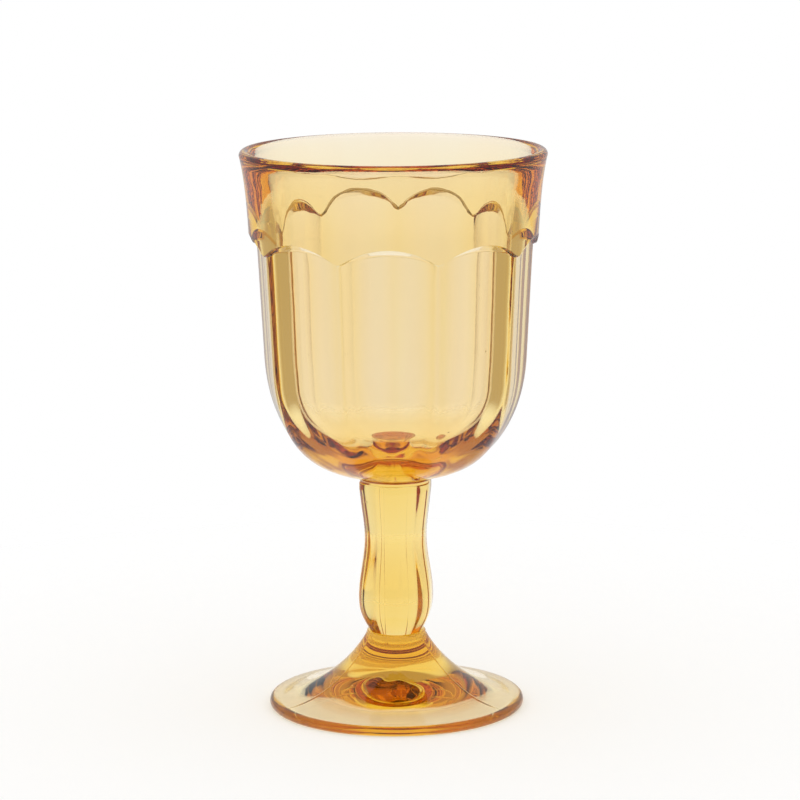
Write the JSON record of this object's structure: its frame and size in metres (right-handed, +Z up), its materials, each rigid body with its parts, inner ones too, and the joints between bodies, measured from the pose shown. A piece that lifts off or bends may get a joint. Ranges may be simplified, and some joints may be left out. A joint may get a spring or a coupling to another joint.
{
  "type": "goblet",
  "caption": "Pressed amber glass goblet: thick cup with a flared lip, a scalloped band over flat panels, a faceted baluster stem and a round bell foot, to drink from.",
  "frame": {"origin": "centre of the foot on the surface that the goblet stands on", "axes": "+Z up along the goblet's own axis, -Y out of the middle of one bowl panel, +X to the right of a viewer who looks at that panel"},
  "size_m": [0.088, 0.088, 0.163],
  "materials": {
    "amber_glass": "clear fire polished amber glass"
  },
  "bodies": {
    "root": {"bowl": "amber_glass", "stem": "amber_glass", "foot": "amber_glass"}
  },
  "joints": []
}
